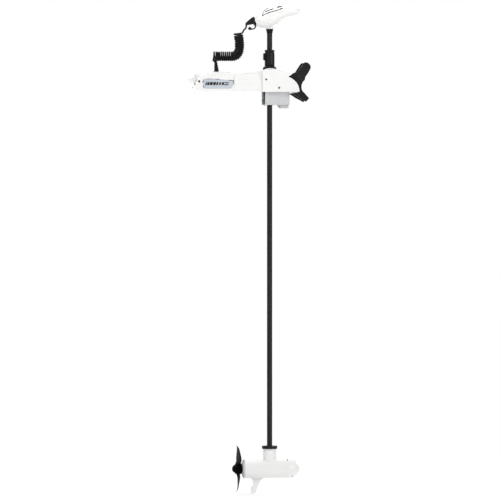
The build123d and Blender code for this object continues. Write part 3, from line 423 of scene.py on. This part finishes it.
# ---------------------------------------------------------------- mesh helpers
def piece(name, verts, faces, slot, body, smooth=True, stands_for=()):
    """A mesh given in millimetres from the shaft's axis, as a piece that rides on a body."""
    mesh = bpy.data.meshes.new(name)
    mesh.from_pydata([at(*v) for v in verts], [], faces)
    form = bmesh.new()
    form.from_mesh(mesh)
    bmesh.ops.remove_doubles(form, verts=form.verts, dist=1e-6)
    bmesh.ops.recalc_face_normals(form, faces=form.faces)
    form.to_mesh(mesh)
    form.free()
    if smooth:
        mesh.shade_smooth()
        mesh.set_sharp_from_angle(angle=math.radians(38))
    mesh.materials.append(MATERIALS[slot])
    made = bpy.data.objects.new(name, mesh)
    bpy.context.scene.collection.objects.link(made)
    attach(made, body)
    if stands_for:
        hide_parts(*stands_for)
    return made


def sleeve(name, rings, slot, body, **rest):
    """A closed skin over rings that hold the same number of points."""
    segments = len(rings[0])
    verts = [point for ring in rings for point in ring]
    faces = []
    for i in range(len(rings) - 1):
        for k in range(segments):
            n = (k + 1) % segments
            faces.append((i * segments + k, i * segments + n, (i + 1) * segments + n, (i + 1) * segments + k))
    faces.append(tuple(reversed(range(segments))))
    last = (len(rings) - 1) * segments
    faces.append(tuple(last + k for k in range(segments)))
    return piece(name, verts, faces, slot, body, **rest)


def flat_ring(centre, radius, segments=48):
    """Points of a circle that lies flat."""
    angles = [2 * math.pi * k / segments for k in range(segments)]
    return [(centre[0] + radius * math.cos(a), centre[1] + radius * math.sin(a), centre[2]) for a in angles]


def rings_along(path, radii, segments=16):
    """A circle at each point of a path, square to the path."""
    points = [Vector(p) for p in path]
    side = Vector((0, 1, 0))
    rings = []
    for i, (point, radius) in enumerate(zip(points, radii)):
        ahead = points[min(i + 1, len(points) - 1)] - points[max(i - 1, 0)]
        across = ahead.cross(side).normalized()
        along = across.cross(ahead).normalized()
        angles = [2 * math.pi * k / segments for k in range(segments)]
        rings.append([tuple(point + (across * math.cos(a) + along * math.sin(a)) * radius) for a in angles])
    return rings


def plates(name, outlines, y0, y1, slot, body):
    """Flat outlines in X and Z, each made solid from y0 to y1, together as one piece."""
    verts, faces = [], []
    for outline in outlines:
        base, n = len(verts), len(outline)
        verts += [(x, y0, z) for x, z in outline] + [(x, y1, z) for x, z in outline]
        faces.append(tuple(base + k for k in range(n)))
        faces.append(tuple(base + n + k for k in reversed(range(n))))
        for k in range(n):
            m = (k + 1) % n
            faces.append((base + k, base + n + k, base + n + m, base + m))
    return piece(name, verts, faces, slot, body, smooth=False)


def skin_of(*nodes):
    """The nodes' surface, to lay thin marks on."""
    verts, faces = [], []
    for node in nodes:
        mesh = frame["nodes"][node].data
        base = len(verts)
        verts += [v.co.copy() for v in mesh.vertices]
        faces += [tuple(base + i for i in polygon.vertices) for polygon in mesh.polygons]
    return BVHTree.FromPolygons(verts, faces)


SINK = 0.4               # how far a raised stroke reaches into the surface
OUTSIDE = 300            # a place in Y that is clear of every piece


def strokes(name, lines, skin, side, slot, body, lift=0.35, step=4.0):
    """Thin raised strokes on a surface, each a width and its points in X and Z, seen from one side."""
    verts, faces = [], []

    def touch(x, z):
        start = at(x, side * OUTSIDE, z)
        spot, _, _, _ = skin.ray_cast(start, Vector((0, -side, 0)))
        return spot.y / MM if spot else None

    for width, points in lines:
        run = []
        for (x0, z0), (x1, z1) in zip(points, points[1:]):
            parts = max(1, round(math.hypot(x1 - x0, z1 - z0) / step))
            run += [(x0 + (x1 - x0) * i / parts, z0 + (z1 - z0) * i / parts) for i in range(parts)]
        run.append(points[-1])
        base, rows = len(verts), 0
        for i, (x, z) in enumerate(run):
            ahead, behind = run[min(i + 1, len(run) - 1)], run[max(i - 1, 0)]
            dx, dz = ahead[0] - behind[0], ahead[1] - behind[1]
            size = math.hypot(dx, dz)
            nx, nz = -dz / size * width / 2, dx / size * width / 2
            row = []
            for part in (-1, -0.33, 0.33, 1):
                px, pz = x + nx * part, z + nz * part
                y = touch(px, pz)
                if y is None:
                    break
                row.append((px, y, pz))
            if len(row) < 4:
                continue
            verts += [(px, y - side * SINK, pz) for px, y, pz in row]
            verts += [(px, y + side * lift, pz) for px, y, pz in row]
            rows += 1
        for i in range(rows - 1):
            a, b = base + 8 * i, base + 8 * (i + 1)
            for k in range(3):
                faces.append((a + k, a + k + 1, b + k + 1, b + k))
                faces.append((a + 4 + k, b + 4 + k, b + 5 + k, a + 5 + k))
            faces += [(a, b, b + 4, a + 4), (a + 3, a + 7, b + 7, b + 3)]
        if rows > 1:
            first, last = base, base + 8 * (rows - 1)
            for k in range(3):
                faces.append((first + k, first + 4 + k, first + 5 + k, first + k + 1))
                faces.append((last + k, last + k + 1, last + 5 + k, last + 4 + k))
    return piece(name, verts, faces, slot, body)


# ---------------------------------------------------------------- curly cord
CORD_D = 9.0
CURL_R = 27.0            # outside of the curl
CURL_Y, CURL_Z, CURL_X = -52.0, 188.0, -168.0
CURL_START_X, CURL_TOP_Z, CURL_BEND = -306.0, 316.0, 35.0
CURL_END_DROP = 5.0      # the last turn's centre is this far under the curl's top
BOOT_X = -289.0
FLAT_TURNS, BEND_TURNS, STAND_TURNS = 10, 8, 9
PER_TURN = 14            # points
LOOSE_TURNS = 3          # at each end of the curl
FIRST_LOOSE, LAST_LOOSE = 2.2, 4.0
LEAN_Z = 262.0           # above this the standing stretch leans towards the stern
BULGE, LEAN = 2.5, 7.0


def curl_run():
    """The helix's stretches along its centre line, each its length and its turns."""
    flat = CURL_X - CURL_BEND - CURL_START_X
    bend = CURL_BEND * math.pi / 2
    stand = CURL_TOP_Z - CURL_END_DROP - (CURL_Z + CURL_BEND)
    return (flat, FLAT_TURNS), (bend, BEND_TURNS), (stand, STAND_TURNS)


def curl_axis(s):
    """The centre line's point at s, and the direction that counts as up there, in X and Z."""
    flat, bend = curl_run()[0][0], curl_run()[1][0]
    if s < flat:
        return CURL_START_X + s, CURL_Z, 0.0, 1.0
    if s < flat + bend:
        a = (s - flat) / CURL_BEND
        return (CURL_X - CURL_BEND + CURL_BEND * math.sin(a), CURL_Z + CURL_BEND - CURL_BEND * math.cos(a),
                -math.sin(a), math.cos(a))
    return CURL_X, CURL_Z + CURL_BEND + s - flat - bend, -1.0, 0.0


def loosened(turn, turns):
    """How far the first and last turns stand apart from the rest."""
    first = math.sin(math.pi * min(turn / LOOSE_TURNS, 1))
    last = math.sin(math.pi * min((turns - turn) / LOOSE_TURNS, 1))
    return FIRST_LOOSE * first - LAST_LOOSE * last


def curl_points():
    """The helix round a centre line that lies, bends and stands, with looser turns at both ends."""
    radius = CURL_R - CORD_D / 2
    turns = FLAT_TURNS + BEND_TURNS + STAND_TURNS
    points = []
    for i in range(turns * PER_TURN + 1):
        turn = i / PER_TURN
        s, left = 0.0, turn
        for length, share in curl_run():
            s += length * min(left, share) / share
            left = max(left - share, 0)
        s += loosened(turn, turns)
        angle = 2 * math.pi * turn - math.pi / 2
        r = radius * (0.975 + 0.025 * math.sin(2.3 * turn) * math.cos(0.7 * turn))
        flare = max(0.0, 1 - (turns - turn) / 0.8)
        across, up = -r * math.cos(angle), r * math.sin(angle)
        x, z, ux, uz = curl_axis(max(s, 0))
        if z > CURL_Z + CURL_BEND:
            x += BULGE - LEAN * max(0.0, (z - LEAN_Z) / (CURL_TOP_Z - LEAN_Z))
        z += 0.4 * math.sin(1.7 * turn)
        points.append((x + up * ux - 3.0 * flare * max(0, up / r), CURL_Y + across, z + up * uz))
    return points


def build_cord():
    """One NURBS spline: the lead out of the boot, the curl, and the lead into the plug."""
    lower = [(BOOT_X + 1.5, CURL_Y, 99.0), (BOOT_X, CURL_Y, 122.0), (BOOT_X - 2.5, CURL_Y, 145.0),
             (BOOT_X - 6, CURL_Y - 2, 160.0)]
    upper = [(-146.0, -58.0, 320.0), (-142.5, -52.0, 327.0), (-138.0, -42.0, 331.0),
             (-132.0, -30.0, 334.0), (-127.0, -25.0, 344.0), (-126.0, -24.0, 354.3)]
    route = lower + curl_points() + upper
    curve = bpy.data.curves.new("curly_cord", "CURVE")
    curve.dimensions = "3D"
    spline = curve.splines.new("NURBS")
    spline.points.add(len(route) - 1)
    for point, spot in zip(spline.points, route):
        point.co = (*at(*spot), 1.0)
    spline.order_u = 3
    spline.use_endpoint_u = True
    spline.resolution_u = 3
    curve.bevel_depth = CORD_D * MM / 2
    curve.bevel_resolution = 4
    curve.use_fill_caps = True
    curve.materials.append(MATERIALS["cord_black"])
    cord = bpy.data.objects.new("curly_cord", curve)
    bpy.context.scene.collection.objects.link(cord)
    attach(cord, "mount")
    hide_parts("coil_cord_curl", "coil_cord_lower_lead", "coil_cord_upper_lead")


# the cord boot, from its flange up
BOOT_FOOT, BOOT_TOP, BOOT_FLANGE_R = 106.05, 164.0, 13.9
BOOT_RIBS = 6
FIRST_RIB_R, RIB_SHRINK = 13.2, 4.9
RIB_DEPTH = 1.9


def boot_centre(z):
    """The boot leans towards the stern as it rises."""
    return (BOOT_X + 2.2 - 5.0 * (z - BOOT_FOOT) / (BOOT_TOP - BOOT_FOOT), CURL_Y, z)


def build_cord_boot():
    """Ribbed rubber strain relief that leans towards the stern as it narrows."""
    rings = [flat_ring((BOOT_X, CURL_Y, BOOT_FOOT), BOOT_FLANGE_R),
             flat_ring((BOOT_X, CURL_Y, BOOT_FOOT + 2.6), BOOT_FLANGE_R),
             flat_ring(boot_centre(BOOT_FOOT + 3.2), 11.6)]
    pitch = (BOOT_TOP - BOOT_FOOT - 6) / BOOT_RIBS
    for i in range(BOOT_RIBS):
        z = BOOT_FOOT + 4 + i * pitch
        r = FIRST_RIB_R - RIB_SHRINK * i / (BOOT_RIBS - 1)
        neck = r - RIB_DEPTH
        section = [(0.0, neck), (0.30, neck), (0.36, r - 0.5), (0.42, r), (0.86, r - 0.4), (0.92, r - 0.9),
                   (0.98, neck - 0.3)]
        rings += [flat_ring(boot_centre(z + part * pitch), size) for part, size in section]
    rings.append(flat_ring(boot_centre(BOOT_TOP), 7.4))
    rings.append(flat_ring(boot_centre(BOOT_TOP + 0.8), 5.6))
    sleeve("ribbed_boot", rings, "black_rubber", "mount", stands_for=("cord_boot",))


# ---------------------------------------------------------------- marks, seams and small fittings
def slanted(x0, x1, z0, z1, lean=0.35):
    """A bar that leans towards the bow."""
    shift = (z1 - z0) * lean
    return [(x0, z0), (x1, z0), (x1 + shift, z1), (x0 + shift, z1)]


def build_side_badge():
    """Plain slanted bars and a broken dark rim on each badge plate."""
    low, high = corner("side_badges", False), corner("side_badges", True)
    x0, x1, z0, z1 = low.x, high.x, low.z, high.z
    proud, sunk = 0.35, 0.1
    bars = []
    for start, wide in ((16, 6), (25, 10), (38, 15), (56, 14), (73, 9)):
        bars.append(slanted(x0 + start, x0 + start + wide, z0 + 18, z0 + 34))
    for start, wide in ((88, 9), (102, 12)):
        bars.append(slanted(x0 + start, x0 + start + wide, z0 + 19, z0 + 33))
    bars += [slanted(x0 + 119, x0 + 141, z0 + 28, z0 + 33), slanted(x0 + 117, x0 + 139, z0 + 18, z0 + 23)]
    rim = [
        [(x0 + 22, z1 - 2.6), (x0 + 55, z1 - 1.8), (x0 + 55, z1 - 0.2), (x0 + 22, z1 - 1)],
        [(x0 + 70, z1 - 3.2), (x0 + 92, z1 - 4.8), (x0 + 92, z1 - 1.9), (x0 + 70, z1 - 0.9)],
        [(x0 + 140, z1 - 9.3), (x1 - 4, z1 - 11.2), (x1 - 2, z1 - 8.1), (x0 + 140, z1 - 6.6)],
        [(x1 - 8, z0 + 22), (x1 - 5.2, z0 + 22), (x1 - 1.5, z1 - 11), (x1 - 4.6, z1 - 12)],
        [(x0 + 8, z0 + 4), (x0 + 11, z0 + 2), (x0 + 8, z0 + 14), (x0 + 4.6, z0 + 17)],
        [(x0 + 2.5, z0 + 34), (x0 + 6, z0 + 33), (x0 + 12, z0 + 41), (x0 + 9, z0 + 42.5)],
    ]
    plates("side_badge_marks", bars + rim, low.y - proud, low.y + sunk, "black_plastic", "mount")
    plates("side_badge_marks_port", bars + rim, high.y - sunk, high.y + proud, "black_plastic", "mount")


def build_head_marks():
    """A generic dark frame and a few blocks on each side of the head."""
    skin = skin_of("head_cover", "head_base")
    # each stroke's width and its points
    marks = [
        (3.0, [(-45, 400), (-38, 420), (-31, 432), (-18, 441), (-4, 446)]),
        (4.0, [(-44, 402), (-28, 412), (-10, 419), (8, 425), (30, 431), (48, 437)]),
        (7.0, [(36, 448), (46, 451), (62, 453)]),
        (6.0, [(50, 438), (58, 441), (66, 444)]),
        (5.0, [(-28, 424), (-12, 431), (4, 437), (18, 441)]),
    ]
    strokes("head_marks", marks, skin, -1, "black_plastic", "shaft")
    strokes("head_marks_port", marks, skin, 1, "black_plastic", "shaft")


def build_tether():
    """Rubber dust cap on a curved strap under the head's rear corner, its rim ribbed."""
    start, middle, end = Vector((-71, 8, 354)), Vector((-80, 8, 326)), Vector((-105, 9, 337))
    steps, strap_r, root_r = 14, 3.4, 4.0
    path = []
    for i in range(steps + 1):
        t = i / steps
        path.append(start * (1 - t) ** 2 + middle * (2 * t * (1 - t)) + end * t ** 2)
    radii = [root_r] * 2 + [strap_r] * (steps - 1)
    sleeve("tether_strap", rings_along(path, radii), "black_rubber", "shaft")
    tilt = math.radians(35)
    lean = Vector((-math.sin(tilt), 0, -math.cos(tilt)))
    wide, groove = 8.2, 7.2
    # the cap's section: a place along its axis and the radius there
    section = [(-8, groove), (-7.2, wide), (-4.4, wide), (-4, groove), (-2.8, groove), (-2.4, wide),
               (0.4, wide), (0.8, groove), (2, groove), (2.4, wide), (5.6, 8), (6.8, 6.6)]
    rings = rings_along([end + lean * t for t, _ in section], [r for _, r in section], 28)
    sleeve("tether_cap_body", rings, "black_rubber", "shaft", stands_for=("tether_cap",))


def build_head_seam():
    """Grey raised strip along the seam between the head's tray and its cover, painted shade for the shadow
    that falls in the seam.
    """
    skin = skin_of("head_cover", "head_base", "head_panel")
    seam = [(-74, 378.7), (12, 357), (24, 359), (52, 376), (85, 398), (120, 410), (150, 416)]
    # painted shade: a grey stroke on each side where the seam's shadow falls
    strokes("head_seam_shade", [(1.6, seam)], skin, -1, "grey_plastic", "shaft", lift=0.25)
    strokes("head_seam_shade_port", [(1.6, seam)], skin, 1, "grey_plastic", "shaft", lift=0.25)


def build_nose_plugs():
    """Small dark plugs over the nose's screws, one high and one low on each side."""
    skin = skin_of("nose_cone", "motor_housing")
    tall, half = 5.5, 2.8
    for name, side in (("nose_plugs", -1), ("nose_plugs_port", 1)):
        dots = [(tall, [(x - half, z), (x + half, z)]) for x, z in ((92, DRIVE_Z + 47), (118, DRIVE_Z - 39))]
        strokes(name, dots, skin, side, "black_rubber", "shaft", lift=0.5, step=1.5)


def arc_plate(name, r0, r1, a0, a1, z0, z1, slot, body):
    """A curved plate round the shaft's axis, from angle a0 to a1 in degrees."""
    steps = 8
    verts, faces = [], []
    for i in range(steps + 1):
        a = math.radians(a0 + (a1 - a0) * i / steps)
        for r, z in ((r0, z0), (r1, z0), (r1, z1), (r0, z1)):
            verts.append((r * math.cos(a), r * math.sin(a), z))
    for i in range(steps):
        for k in range(4):
            faces.append((4 * i + k, 4 * i + (k + 1) % 4, 4 * i + 4 + (k + 1) % 4, 4 * i + 4 + k))
    faces += [(0, 3, 2, 1), (4 * steps, 4 * steps + 1, 4 * steps + 2, 4 * steps + 3)]
    return piece(name, verts, faces, slot, body)


def build_collar_bands():
    """Smooth lugs of the collar's clasp, on both flanks."""
    inside, lug, lip = 26.2, 28.4, 27.6
    for name, turn in (("collar_clasp", -90), ("collar_clasp_port", 90)):
        arc_plate(name, inside, lug, turn - 6, turn + 36, 150, 206, "shaft_composite", "collar")
        arc_plate(name + "_lip", inside, lip, turn - 10, turn + 40, 216.5, 221.5, "shaft_composite", "collar")


# ---------------------------------------------------------------- build
build_camera()
build_floor()
build_backdrop()
build_sky()
build_lights()
dress_nodes()
build_cord()
build_cord_boot()
build_side_badge()
build_head_marks()
build_head_seam()
build_tether()
build_nose_plugs()
build_collar_bands()
